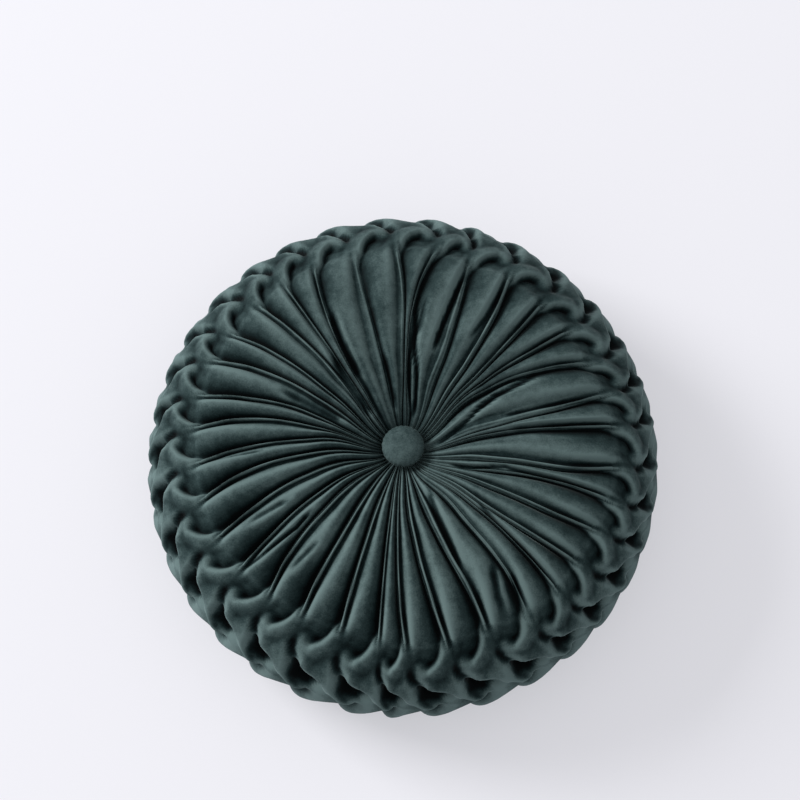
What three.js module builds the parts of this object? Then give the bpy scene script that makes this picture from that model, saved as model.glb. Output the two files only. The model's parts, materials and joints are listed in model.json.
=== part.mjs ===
// Round pleated cushion with a smocked side and a covered button in the middle of each face.
//
// Millimetres, +Z up. The origin is on the surface that the cushion rests on, below its middle.
// A bearing is in degrees clockwise from +Y, seen from above.
//
// The cover is a strip of velvet. Its side is smocked, so that 34 folds zigzag down it: each
// slants clockwise to a first knot, back to a second, clockwise to a third, and back to the
// underside. Above the first knots and below the last ones the folds run to the middle as pleats,
// and a button is pulled into the filling there.

import * as THREE from 'three';
import { mergeVertices } from 'three/addons/utils/BufferGeometryUtils.js';

// Driving dimensions

const BODY_RADIUS = 191.5; // outermost folds, halfway down the side
const BODY_HEIGHT = 105; // crown of the upper face above the floor
const NOTCH_RADIUS = 157; // where the pleats of the upper face end in a gathered notch
const SEAT_RADIUS = 17; // pressed flat under each button
const BUTTON_RADIUS = 15.3;
const BUTTON_HEIGHT = 12;
const BUTTON_CLEARANCE = 0.3; // between a button and the cloth that it is pulled into
const RIM_REACH = 46; // how far from a notch its own radius is felt, along the cloth
const STEPS_PER_FOLD = 6; // grid lines across one fold
const FLOOR = 0;

// The folds, one row each, clockwise from the far side. A crease is never straight, so its bearing
// is given at five places: at the button, on the inner slope, on the crown, on the outer slope and
// at its notch. Rim is the radius of that notch, swell is how plump the fold is against the
// average, and ridge is where its top lies at the rim, from this crease to the next, 0 to 1.

const FOLDS = [
  { button: -2.4, inner: 0.2, crown: 0.7, outer: 0.4, notch: -1.7, rim: 159, swell: 0.8, ridge: 0.62 },
  { button: 11.8, inner: 4.3, crown: 2.7, outer: 5.5, notch: 10.4, rim: 157, swell: 0.9, ridge: 0.66 },
  { button: 35.6, inner: 28.7, crown: 24.8, outer: 21.3, notch: 19.7, rim: 153, swell: 0.9, ridge: 0.68 },
  { button: 51.3, inner: 43.6, crown: 39.0, outer: 35.1, notch: 31.5, rim: 157, swell: 1.0, ridge: 0.66 },
  { button: 58.2, inner: 50.1, crown: 47.5, outer: 45.3, notch: 43.9, rim: 154, swell: 1.0, ridge: 0.7 },
  { button: 64.3, inner: 54.7, crown: 52.8, outer: 54.3, notch: 54.9, rim: 154, swell: 0.9, ridge: 0.66 },
  { button: 70.0, inner: 58.0, crown: 57.2, outer: 62.0, notch: 65.9, rim: 154, swell: 1.0, ridge: 0.6 },
  { button: 90.7, inner: 83.5, crown: 79.3, outer: 77.1, notch: 75.6, rim: 158, swell: 1.1, ridge: 0.66 },
  { button: 97.0, inner: 88.6, crown: 84.4, outer: 84.6, notch: 85.1, rim: 161, swell: 1.0, ridge: 0.68 },
  { button: 113.0, inner: 106.2, crown: 101.6, outer: 99.9, notch: 96.3, rim: 162, swell: 0.9, ridge: 0.7 },
  { button: 121.5, inner: 114.9, crown: 107.3, outer: 104.6, notch: 105.8, rim: 161, swell: 1.1, ridge: 0.66 },
  { button: 129.4, inner: 122.2, crown: 118.0, outer: 116.3, notch: 114.8, rim: 158, swell: 1.0, ridge: 0.64 },
  { button: 139.4, inner: 132.2, crown: 129.5, outer: 126.5, notch: 125.2, rim: 157, swell: 1.1, ridge: 0.66 },
  { button: 146.0, inner: 136.6, crown: 132.8, outer: 133.2, notch: 134.8, rim: 160, swell: 1.0, ridge: 0.62 },
  { button: 154.0, inner: 145.3, crown: 142.8, outer: 142.2, notch: 145.4, rim: 159, swell: 1.1, ridge: 0.68 },
  { button: 164.8, inner: 164.1, crown: 160.7, outer: 157.2, notch: 156.8, rim: 153, swell: 1.1, ridge: 0.7 },
  { button: 175.4, inner: 176.9, crown: 174.2, outer: 170.6, notch: 168.2, rim: 156, swell: 1.0, ridge: 0.68 },
  { button: 188.0, inner: 186.1, crown: 183.8, outer: 181.6, notch: 179.5, rim: 155, swell: 0.8, ridge: 0.6 },
  { button: 193.4, inner: 191.2, crown: 189.2, outer: 187.6, notch: 187.0, rim: 151, swell: 1.0, ridge: 0.66 },
  { button: 202.9, inner: 202.9, crown: 200.7, outer: 199.2, notch: 198.4, rim: 149, swell: 1.1, ridge: 0.7 },
  { button: 218.4, inner: 216.5, crown: 213.5, outer: 211.9, notch: 210.5, rim: 149, swell: 1.1, ridge: 0.7 },
  { button: 229.0, inner: 232.4, crown: 229.3, outer: 225.0, notch: 221.0, rim: 152, swell: 1.0, ridge: 0.68 },
  { button: 235.5, inner: 239.7, crown: 238.3, outer: 234.2, notch: 232.0, rim: 154, swell: 1.1, ridge: 0.66 },
  { button: 246.3, inner: 252.6, crown: 251.3, outer: 246.3, notch: 242.7, rim: 156, swell: 1.1, ridge: 0.68 },
  { button: 259.5, inner: 264.1, crown: 263.3, outer: 259.3, notch: 254.0, rim: 157, swell: 1.0, ridge: 0.7 },
  { button: 266.0, inner: 273.6, crown: 271.6, outer: 267.9, notch: 264.8, rim: 156, swell: 1.0, ridge: 0.68 },
  { button: 271.5, inner: 278.0, crown: 281.0, outer: 279.0, notch: 274.8, rim: 157, swell: 1.1, ridge: 0.66 },
  { button: 277.5, inner: 283.7, crown: 288.4, outer: 286.7, notch: 284.2, rim: 158, swell: 1.0, ridge: 0.7 },
  { button: 286.8, inner: 295.6, crown: 299.0, outer: 298.1, notch: 294.8, rim: 158, swell: 1.0, ridge: 0.7 },
  { button: 293.4, inner: 302.3, crown: 306.1, outer: 305.9, notch: 303.8, rim: 156, swell: 0.9, ridge: 0.66 },
  { button: 305.0, inner: 313.6, crown: 317.1, outer: 316.6, notch: 315.1, rim: 156, swell: 0.9, ridge: 0.62 },
  { button: 315.6, inner: 319.7, crown: 322.6, outer: 324.0, notch: 324.9, rim: 157, swell: 0.8, ridge: 0.6 },
  { button: 320.5, inner: 324.2, crown: 326.4, outer: 331.0, notch: 335.1, rim: 157, swell: 0.7, ridge: 0.58 },
  { button: 345.4, inner: 346.5, crown: 346.2, outer: 346.1, notch: 346.7, rim: 156, swell: 0.7, ridge: 0.6 },
];
const FOLD_COUNT = FOLDS.length;
const EVEN_PITCH = 360 / FOLD_COUNT;
const BEARING_PLACES = [
  { place: 'button', radius: 20 },
  { place: 'inner', radius: 40 },
  { place: 'crown', radius: 75 },
  { place: 'outer', radius: 120 },
  { place: 'notch', radius: NOTCH_RADIUS },
];

// Where the top of a pleat lies, from its crease to the next: near the middle of the face it is the
// same for all, and between these two radii it moves over to the fold's own ridge.

const INNER_RIDGE = 0.42;
const RIDGE_MOVES_FROM = 88;
const RIDGE_MOVES_TO = 148;

// The rings, from the upper seat over the side to the lower seat: the tops of the folds there,
// and how deep the creases between them are. Weave is 1 where the smocked side makes the relief.

const RINGS = [
  { radius: SEAT_RADIUS, height: 84, crease: 0, weave: 0 },
  { radius: 20, height: 87, crease: 2, weave: 0 },
  { radius: 30, height: 93.8, crease: 3.5, weave: 0 },
  { radius: 42, height: 98.8, crease: 4, weave: 0 },
  { radius: 60, height: 103, crease: 4.5, weave: 0 },
  { radius: 86, height: BODY_HEIGHT, crease: 5, weave: 0 },
  { radius: 112, height: 104.4, crease: 6, weave: 0 },
  { radius: 136, height: 101.4, crease: 7.5, weave: 0 },
  { radius: 149, height: 97, crease: 9.5, weave: 0.4 },
  { radius: NOTCH_RADIUS, height: 92.5, crease: 11, weave: 1 },
  { radius: 165.5, height: 88.5, crease: 12, weave: 1 },
  { radius: 172.8, height: 83, crease: 12, weave: 1 },
  { radius: 179, height: 76.5, crease: 12, weave: 1 },
  { radius: 184, height: 69, crease: 12, weave: 1 },
  { radius: 187.8, height: 61, crease: 12, weave: 1 },
  { radius: 190.3, height: 53, crease: 12, weave: 1 },
  { radius: BODY_RADIUS, height: 45, crease: 12, weave: 1 },
  { radius: BODY_RADIUS, height: 37, crease: 12, weave: 1 },
  { radius: 190.2, height: 29, crease: 12, weave: 1 },
  { radius: 187, height: 21.5, crease: 11, weave: 1 },
  { radius: 181.3, height: 14, crease: 10, weave: 1 },
  { radius: 172, height: 6.5, crease: 8, weave: 1 },
  { radius: 160, height: 1.5, crease: 5, weave: 1 },
  { radius: 146, height: FLOOR, crease: 0, weave: 0 },
  { radius: 92, height: FLOOR, crease: 0, weave: 0 },
  { radius: 64, height: 3, crease: 2, weave: 0 },
  { radius: 38, height: 10, crease: 3, weave: 0 },
  { radius: 20, height: 17.5, crease: 2, weave: 0 },
  { radius: SEAT_RADIUS, height: 22.5, crease: 0, weave: 0 },
];
const NOTCH_RING = RINGS.findIndex((row) => row.radius === NOTCH_RADIUS);

// The smocked folds of one repeat. Each point of a fold's ridge has its place across, in
// pitches clockwise from the notch, and down, in millimetres along the side from the notches.
// Sunk is how far it lies under the tops of the folds. Ahead and behind are the widths of the
// slopes on the clockwise and anticlockwise hand of the fold as it runs down.

const STEM = [
  { across: -0.4, down: -44, sunk: 0, ahead: 8, behind: 20 },
  { across: -0.22, down: -16, sunk: 0, ahead: 7, behind: 15 },
  { across: -0.05, down: -5, sunk: 0, ahead: 6.5, behind: 12 },
  { across: 0.12, down: 6, sunk: 0, ahead: 6, behind: 12 },
  { across: 0.3, down: 13, sunk: 0.5, ahead: 6, behind: 13 },
  { across: 0.47, down: 19, sunk: 1.5, ahead: 6, behind: 12 },
  { across: 0.6, down: 17, sunk: 2.5, ahead: 5, behind: 8 },
  { across: 0.74, down: 11, sunk: 3.5, ahead: 5, behind: 6 },
  { across: 0.86, down: 3, sunk: 6, ahead: 5, behind: 5 },
];
const SECOND_FOLD = [
  { across: 0.5, down: 30, sunk: 4, ahead: 4, behind: 11 },
  { across: 0.15, down: 33, sunk: 2, ahead: 4, behind: 15 },
  { across: -0.18, down: 39, sunk: 0, ahead: 5, behind: 12 },
  { across: -0.4, down: 50, sunk: 0.5, ahead: 5, behind: 7 },
  { across: -0.52, down: 53, sunk: 2, ahead: 5, behind: 5 },
  { across: -0.7, down: 50, sunk: 4, ahead: 5, behind: 4 },
  { across: -0.92, down: 42, sunk: 6, ahead: 5, behind: 4 },
];
const THIRD_FOLD = [
  { across: -0.5, down: 55, sunk: 4, ahead: 11, behind: 4 },
  { across: -0.15, down: 58, sunk: 2, ahead: 15, behind: 4 },
  { across: 0.18, down: 64, sunk: 0, ahead: 12, behind: 5 },
  { across: 0.4, down: 75, sunk: 0.5, ahead: 7, behind: 6 },
  { across: 0.52, down: 78, sunk: 2, ahead: 5, behind: 5 },
  { across: 0.7, down: 75, sunk: 4, ahead: 4, behind: 5 },
  { across: 0.92, down: 67, sunk: 6, ahead: 4, behind: 5 },
];
const LOWER_STEM = [
  { across: 0.5, down: 81, sunk: 2, ahead: 8, behind: 8 },
  { across: 0.28, down: 88, sunk: 1, ahead: 10, behind: 8 },
  { across: 0.04, down: 99, sunk: 0.5, ahead: 10, behind: 8 },
  { across: -0.1, down: 113, sunk: 0, ahead: 12, behind: 8 },
  { across: -0.2, down: 134, sunk: 0, ahead: 16, behind: 10 },
];
const SMOCKED_FOLDS = [STEM, SECOND_FOLD, THIRD_FOLD, LOWER_STEM];

// The shape of a smocked fold's slope: the share of the crease's depth that it falls by, and how
// fast the cloth drops beyond its edge.

const FALL = 0.8;
const STEEP = 3;

// The ridge that the grid lines follow down the side, so that the folds stay crisp on it.

const RIDGE_ACROSS = [
  { down: -60, across: 0 },
  { down: -8, across: 0 },
  { down: 13, across: 0.45 },
  { down: 29, across: 0.5 },
  { down: 53, across: -0.45 },
  { down: 78, across: 0.45 },
  { down: 112, across: -0.1 },
  { down: 160, across: 0 },
];

// Working values

const { degToRad, lerp, clamp, smoothstep } = THREE.MathUtils;

const wrapped = (index) => ((index % FOLD_COUNT) + FOLD_COUNT) % FOLD_COUNT;
const turns = (index) => 360 * Math.floor(index / FOLD_COUNT);

function betweenRows(rows, key, at, value) {
  const last = rows.length - 1;
  if (at <= rows[0][key]) return rows[0][value];
  for (let i = 0; i < last; i += 1) {
    if (at <= rows[i + 1][key]) {
      const share = (at - rows[i][key]) / (rows[i + 1][key] - rows[i][key]);
      return lerp(rows[i][value], rows[i + 1][value], share);
    }
  }
  return rows[last][value];
}

// Distance of every ring down the side from the ring of notches, along the tops of the folds.

const ringDown = RINGS.map(() => 0);
for (let i = NOTCH_RING + 1; i < RINGS.length; i += 1) {
  const step = Math.hypot(RINGS[i].radius - RINGS[i - 1].radius, RINGS[i].height - RINGS[i - 1].height);
  ringDown[i] = ringDown[i - 1] + step;
}
for (let i = NOTCH_RING - 1; i >= 0; i -= 1) {
  const step = Math.hypot(RINGS[i].radius - RINGS[i + 1].radius, RINGS[i].height - RINGS[i + 1].height);
  ringDown[i] = ringDown[i + 1] - step;
}

// Bearing of crease number index on a ring: past the notches it stays as it is at its notch.

function creaseBearing(index, ring) {
  const fold = FOLDS[wrapped(index)];
  const route = BEARING_PLACES.map(({ place, radius }) => ({ radius, bearing: fold[place] }));
  const at = ringDown[ring] < 0 ? RINGS[ring].radius : NOTCH_RADIUS;
  return betweenRows(route, 'radius', at, 'bearing') + turns(index);
}

function bearingAt(across, ring) {
  const index = Math.floor(across);
  return lerp(creaseBearing(index, ring), creaseBearing(index + 1, ring), across - index);
}

// How much further out the cloth lies here because of the notches beside it.

function rimShift(across, ring) {
  const index = Math.floor(across);
  const rim = lerp(FOLDS[wrapped(index)].rim, FOLDS[wrapped(index + 1)].rim, across - index);
  return (rim - NOTCH_RADIUS) * (1 - smoothstep(Math.abs(ringDown[ring]), 0, RIM_REACH));
}

// Relief of the pleats: how deep the cloth lies at a share of the way from one crease to the next.

function pleatDepth(share, fold, { radius, crease }) {
  const ridge = lerp(INNER_RIDGE, fold.ridge, smoothstep(radius, RIDGE_MOVES_FROM, RIDGE_MOVES_TO));
  const rising = share < ridge;
  const off = rising ? (ridge - share) / ridge : (share - ridge) / (1 - ridge);
  return crease * fold.swell * (rising ? off ** 2.2 : off ** 1.4);
}

// Relief of the smocked side: the fold that lies highest at this point is the one that shows.

function foldDepth(rows, across, down, pitch, crease) {
  let best = crease;
  for (let i = 0; i < rows.length - 1; i += 1) {
    const from = rows[i];
    const to = rows[i + 1];
    const runX = (to.across - from.across) * pitch;
    const runY = to.down - from.down;
    const offX = (across - from.across) * pitch;
    const offY = down - from.down;
    const share = clamp((offX * runX + offY * runY) / (runX ** 2 + runY ** 2), 0, 1);
    const distance = Math.hypot(offX - share * runX, offY - share * runY);
    const clockwise = runY * offX - runX * offY > 0;
    const side = clockwise ? 'ahead' : 'behind';
    const reach = distance / lerp(from[side], to[side], share);
    const slope = reach < 1 ? 1 - Math.sqrt(1 - reach ** 2) : 1 + (reach - 1) * STEEP;
    best = Math.min(best, lerp(from.sunk, to.sunk, share) + slope * crease * FALL);
  }
  return best;
}

function weaveDepth(across, down, pitch, crease) {
  let best = crease;
  for (const rows of SMOCKED_FOLDS) {
    const nearest = Math.round(across);
    for (let shift = -1; shift <= 1; shift += 1) {
      best = Math.min(best, foldDepth(rows, across - nearest - shift, down, pitch, crease));
    }
  }
  return best;
}

// The cover

function coverPoint(ring, line) {
  const { radius, height, crease, weave } = RINGS[ring];
  const before = RINGS[Math.max(ring - 1, 0)];
  const after = RINGS[Math.min(ring + 1, RINGS.length - 1)];
  const along = new THREE.Vector2(after.radius - before.radius, after.height - before.height).normalize();
  const inward = new THREE.Vector2(along.y, -along.x);
  const across = line / STEPS_PER_FOLD + betweenRows(RIDGE_ACROSS, 'down', ringDown[ring], 'across');
  const index = Math.floor(across);
  const pitch = degToRad(EVEN_PITCH) * radius;
  const pleat = pleatDepth(across - index, FOLDS[wrapped(index)], RINGS[ring]);
  const smocked = weave > 0 ? weaveDepth(across, ringDown[ring], pitch, crease) : 0;
  const depth = lerp(pleat, smocked, weave);
  const bearing = degToRad(bearingAt(across, ring));
  const pointRadius = radius + rimShift(across, ring) + inward.x * depth;
  const pointHeight = Math.max(height + inward.y * depth, FLOOR);
  return new THREE.Vector3(pointRadius * Math.sin(bearing), pointRadius * Math.cos(bearing), pointHeight);
}

function coverGeometry() {
  const lines = FOLD_COUNT * STEPS_PER_FOLD;
  const points = [];
  RINGS.forEach((row, ring) => {
    for (let line = 0; line < lines; line += 1) points.push(coverPoint(ring, line));
  });
  const last = RINGS.length - 1;
  const upperMiddle = points.push(new THREE.Vector3(0, 0, RINGS[0].height)) - 1;
  const lowerMiddle = points.push(new THREE.Vector3(0, 0, RINGS[last].height)) - 1;
  const faces = [];
  for (let line = 0; line < lines; line += 1) {
    const next = (line + 1) % lines;
    faces.push(upperMiddle, next, line);
    faces.push(lowerMiddle, last * lines + line, last * lines + next);
    for (let ring = 0; ring < last; ring += 1) {
      const near = ring * lines;
      const far = near + lines;
      faces.push(near + line, near + next, far + next);
      faces.push(near + line, far + next, far + line);
    }
  }
  const geometry = new THREE.BufferGeometry().setFromPoints(points);
  geometry.setIndex(faces);
  geometry.computeBoundingBox();
  const middle = geometry.boundingBox.getCenter(new THREE.Vector3());
  geometry.translate(-middle.x, -middle.y, 0);
  geometry.computeVertexNormals();
  return geometry;
}

// A covered button: a flat back, a rounded edge where the cloth is drawn round, and a low dome.

const BUTTON_OUTLINE = [
  { radius: 0, height: 0 },
  { radius: 0.72, height: 0 },
  { radius: 0.93, height: 0.14 },
  { radius: 1, height: 0.36 },
  { radius: 0.96, height: 0.58 },
  { radius: 0.82, height: 0.76 },
  { radius: 0.58, height: 0.9 },
  { radius: 0.3, height: 0.98 },
  { radius: 0, height: 1 },
];
const BUTTON_SIDES = 34;

function buttonGeometry() {
  const outline = BUTTON_OUTLINE.map(
    (point) => new THREE.Vector2(point.radius * BUTTON_RADIUS, point.height * BUTTON_HEIGHT),
  );
  const geometry = new THREE.LatheGeometry(outline, BUTTON_SIDES);
  geometry.rotateX(Math.PI / 2);
  geometry.deleteAttribute('uv');
  geometry.deleteAttribute('normal');
  const merged = mergeVertices(geometry);
  merged.computeVertexNormals();
  return merged;
}

// The model

const velvet = new THREE.MeshStandardMaterial({ color: 0x22302f, roughness: 0.85, metalness: 0 });

const cushion = new THREE.Mesh(coverGeometry(), velvet.clone());
cushion.name = 'cushion';

const buttonTop = new THREE.Mesh(buttonGeometry(), velvet.clone());
buttonTop.name = 'button_top';
buttonTop.position.z = RINGS[0].height + BUTTON_CLEARANCE;

const buttonUnder = new THREE.Mesh(buttonGeometry(), velvet.clone());
buttonUnder.name = 'button_under';
buttonUnder.rotation.x = Math.PI;
buttonUnder.position.z = RINGS[RINGS.length - 1].height - BUTTON_CLEARANCE;

const model = new THREE.Group();
model.add(cushion, buttonTop, buttonUnder);

export default model;
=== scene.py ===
# %% [markdown]
# A round cushion in bottle green velvet. Its cover is one long strip of cloth. The middle of
# the strip is smocked, so that 34 folds zigzag down the side like a plait. Both edges of the
# strip are gathered to the middle of a face, where a covered button is pulled into the filling.
#
# The solids of the part are the frame: they settle the size and the place of every fold. This
# script makes the finer cover and the buttons that are seen, in the same place and in metres.

# %% Load the frame

import json
import math

import bmesh
import bpy
import numpy as np
from mathutils import Matrix, Vector

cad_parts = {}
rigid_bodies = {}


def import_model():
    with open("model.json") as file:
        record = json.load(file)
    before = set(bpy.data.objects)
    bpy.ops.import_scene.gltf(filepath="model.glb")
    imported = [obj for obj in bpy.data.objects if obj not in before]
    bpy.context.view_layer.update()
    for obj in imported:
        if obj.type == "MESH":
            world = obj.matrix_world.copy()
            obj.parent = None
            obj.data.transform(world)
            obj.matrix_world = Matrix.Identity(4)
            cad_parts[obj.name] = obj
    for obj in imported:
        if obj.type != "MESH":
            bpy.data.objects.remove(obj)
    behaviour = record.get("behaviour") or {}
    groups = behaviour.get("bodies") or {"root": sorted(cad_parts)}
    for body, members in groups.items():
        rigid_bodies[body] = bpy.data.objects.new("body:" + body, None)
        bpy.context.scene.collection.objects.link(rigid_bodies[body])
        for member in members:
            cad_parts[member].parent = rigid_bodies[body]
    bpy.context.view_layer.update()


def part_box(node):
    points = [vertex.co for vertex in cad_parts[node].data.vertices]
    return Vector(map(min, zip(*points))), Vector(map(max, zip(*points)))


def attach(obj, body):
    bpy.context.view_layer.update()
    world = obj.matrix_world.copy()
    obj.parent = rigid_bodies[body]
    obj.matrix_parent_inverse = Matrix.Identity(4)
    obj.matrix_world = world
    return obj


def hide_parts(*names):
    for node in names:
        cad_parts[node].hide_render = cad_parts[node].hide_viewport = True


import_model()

# %% [markdown]
# The sizes come first. They are written in millimetres, as a maker would note them, and MM
# turns them into metres where the mesh is made.

# %% Sizes

MM = 0.001
BODY_RADIUS = 191.5
BODY_HEIGHT = 105
NOTCH_RADIUS = 157
NOTCH_HEIGHT = 92.5
LOWER_RIM = 146
BUTTON_RADIUS = 15.3
BUTTON_HEIGHT = 12
FLOOR = 0

# %% [markdown]
# One row for each fold of the cover, clockwise from the far side. A crease is never straight,
# so its bearing is given in degrees at five places: at the button, on the inner slope, on the
# crown, on the outer slope and at its notch. Rim is the radius of that notch, swell is how
# plump the fold is, ridge is where its top lies at the rim, between this crease and the next,
# and lip says how high the thin lip beside its crease stands.

# %% Table of the folds

FOLDS = [
    {"button": -2.4, "inner": 0.2, "crown": 0.7, "outer": 0.4, "notch": -1.7, "rim": 159,
     "swell": 0.8, "ridge": 0.62, "lip": 0.8},
    {"button": 11.8, "inner": 4.3, "crown": 2.7, "outer": 5.5, "notch": 10.4, "rim": 157,
     "swell": 0.9, "ridge": 0.66, "lip": 0.7},
    {"button": 35.6, "inner": 28.7, "crown": 24.8, "outer": 21.3, "notch": 19.7, "rim": 153,
     "swell": 0.9, "ridge": 0.68, "lip": 0.9},
    {"button": 51.3, "inner": 43.6, "crown": 39.0, "outer": 35.1, "notch": 31.5, "rim": 157,
     "swell": 1.0, "ridge": 0.66, "lip": 0.8},
    {"button": 58.2, "inner": 50.1, "crown": 47.5, "outer": 45.3, "notch": 43.9, "rim": 154,
     "swell": 1.0, "ridge": 0.7, "lip": 0.9},
    {"button": 64.3, "inner": 54.7, "crown": 52.8, "outer": 54.3, "notch": 54.9, "rim": 154,
     "swell": 0.9, "ridge": 0.66, "lip": 0.7},
    {"button": 70.0, "inner": 58.0, "crown": 57.2, "outer": 62.0, "notch": 65.9, "rim": 154,
     "swell": 1.0, "ridge": 0.6, "lip": 0.6},
    {"button": 90.7, "inner": 83.5, "crown": 79.3, "outer": 77.1, "notch": 75.6, "rim": 158,
     "swell": 1.1, "ridge": 0.66, "lip": 0.8},
    {"button": 97.0, "inner": 88.6, "crown": 84.4, "outer": 84.6, "notch": 85.1, "rim": 161,
     "swell": 1.0, "ridge": 0.68, "lip": 0.9},
    {"button": 113.0, "inner": 106.2, "crown": 101.6, "outer": 99.9, "notch": 96.3, "rim": 162,
     "swell": 0.9, "ridge": 0.7, "lip": 0.7},
    {"button": 121.5, "inner": 114.9, "crown": 107.3, "outer": 104.6, "notch": 105.8, "rim": 161,
     "swell": 1.1, "ridge": 0.66, "lip": 0.8},
    {"button": 129.4, "inner": 122.2, "crown": 118.0, "outer": 116.3, "notch": 114.8, "rim": 158,
     "swell": 1.0, "ridge": 0.64, "lip": 0.9},
    {"button": 139.4, "inner": 132.2, "crown": 129.5, "outer": 126.5, "notch": 125.2, "rim": 157,
     "swell": 1.1, "ridge": 0.66, "lip": 0.8},
    {"button": 146.0, "inner": 136.6, "crown": 132.8, "outer": 133.2, "notch": 134.8, "rim": 160,
     "swell": 1.0, "ridge": 0.62, "lip": 0.6},
    {"button": 154.0, "inner": 145.3, "crown": 142.8, "outer": 142.2, "notch": 145.4, "rim": 159,
     "swell": 1.1, "ridge": 0.68, "lip": 0.8},
    {"button": 164.8, "inner": 164.1, "crown": 160.7, "outer": 157.2, "notch": 156.8, "rim": 153,
     "swell": 1.1, "ridge": 0.7, "lip": 0.9},
    {"button": 175.4, "inner": 176.9, "crown": 174.2, "outer": 170.6, "notch": 168.2, "rim": 156,
     "swell": 1.0, "ridge": 0.68, "lip": 0.9},
    {"button": 188.0, "inner": 186.1, "crown": 183.8, "outer": 181.6, "notch": 179.5, "rim": 155,
     "swell": 0.8, "ridge": 0.6, "lip": 0.9},
    {"button": 193.4, "inner": 191.2, "crown": 189.2, "outer": 187.6, "notch": 187.0, "rim": 151,
     "swell": 1.0, "ridge": 0.66, "lip": 0.9},
    {"button": 202.9, "inner": 202.9, "crown": 200.7, "outer": 199.2, "notch": 198.4, "rim": 149,
     "swell": 1.1, "ridge": 0.7, "lip": 0.9},
    {"button": 218.4, "inner": 216.5, "crown": 213.5, "outer": 211.9, "notch": 210.5, "rim": 149,
     "swell": 1.1, "ridge": 0.7, "lip": 0.8},
    {"button": 229.0, "inner": 232.4, "crown": 229.3, "outer": 225.0, "notch": 221.0, "rim": 152,
     "swell": 1.0, "ridge": 0.68, "lip": 0.9},
    {"button": 235.5, "inner": 239.7, "crown": 238.3, "outer": 234.2, "notch": 232.0, "rim": 154,
     "swell": 1.1, "ridge": 0.66, "lip": 0.8},
    {"button": 246.3, "inner": 252.6, "crown": 251.3, "outer": 246.3, "notch": 242.7, "rim": 156,
     "swell": 1.1, "ridge": 0.68, "lip": 0.9},
    {"button": 259.5, "inner": 264.1, "crown": 263.3, "outer": 259.3, "notch": 254.0, "rim": 157,
     "swell": 1.0, "ridge": 0.7, "lip": 0.9},
    {"button": 266.0, "inner": 273.6, "crown": 271.6, "outer": 267.9, "notch": 264.8, "rim": 156,
     "swell": 1.0, "ridge": 0.68, "lip": 0.9},
    {"button": 271.5, "inner": 278.0, "crown": 281.0, "outer": 279.0, "notch": 274.8, "rim": 157,
     "swell": 1.1, "ridge": 0.66, "lip": 0.9},
    {"button": 277.5, "inner": 283.7, "crown": 288.4, "outer": 286.7, "notch": 284.2, "rim": 158,
     "swell": 1.0, "ridge": 0.7, "lip": 0.9},
    {"button": 286.8, "inner": 295.6, "crown": 299.0, "outer": 298.1, "notch": 294.8, "rim": 158,
     "swell": 1.0, "ridge": 0.7, "lip": 0.9},
    {"button": 293.4, "inner": 302.3, "crown": 306.1, "outer": 305.9, "notch": 303.8, "rim": 156,
     "swell": 0.9, "ridge": 0.66, "lip": 0.8},
    {"button": 305.0, "inner": 313.6, "crown": 317.1, "outer": 316.6, "notch": 315.1, "rim": 156,
     "swell": 0.9, "ridge": 0.62, "lip": 0.7},
    {"button": 315.6, "inner": 319.7, "crown": 322.6, "outer": 324.0, "notch": 324.9, "rim": 157,
     "swell": 0.8, "ridge": 0.6, "lip": 0.8},
    {"button": 320.5, "inner": 324.2, "crown": 326.4, "outer": 331.0, "notch": 335.1, "rim": 157,
     "swell": 0.7, "ridge": 0.58, "lip": 0.6},
    {"button": 345.4, "inner": 346.5, "crown": 346.2, "outer": 346.1, "notch": 346.7, "rim": 156,
     "swell": 0.7, "ridge": 0.6, "lip": 0.7},
]
FOLD_COUNT = len(FOLDS)
EVEN_PITCH = 360 / FOLD_COUNT
# radii of the five places, in millimetres
BEARING_PLACES = {"button": 20, "inner": 40, "crown": 75, "outer": 120, "notch": NOTCH_RADIUS}


def fold_column(name):
    """One column of the table, as an array with an entry for each fold."""
    return np.array([row[name] for row in FOLDS], float)


print(FOLD_COUNT, "folds,", round(EVEN_PITCH, 2), "degrees apart on average")

# %% [markdown]
# The outline of the cushion, from under the upper button, over the side, to under the lower
# button. The rows give the tops of the folds. Crease is how deep the valleys between them are,
# and weave is the share of the relief that comes from the smocking instead of the pleats.

# %% Table of the outline

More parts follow.
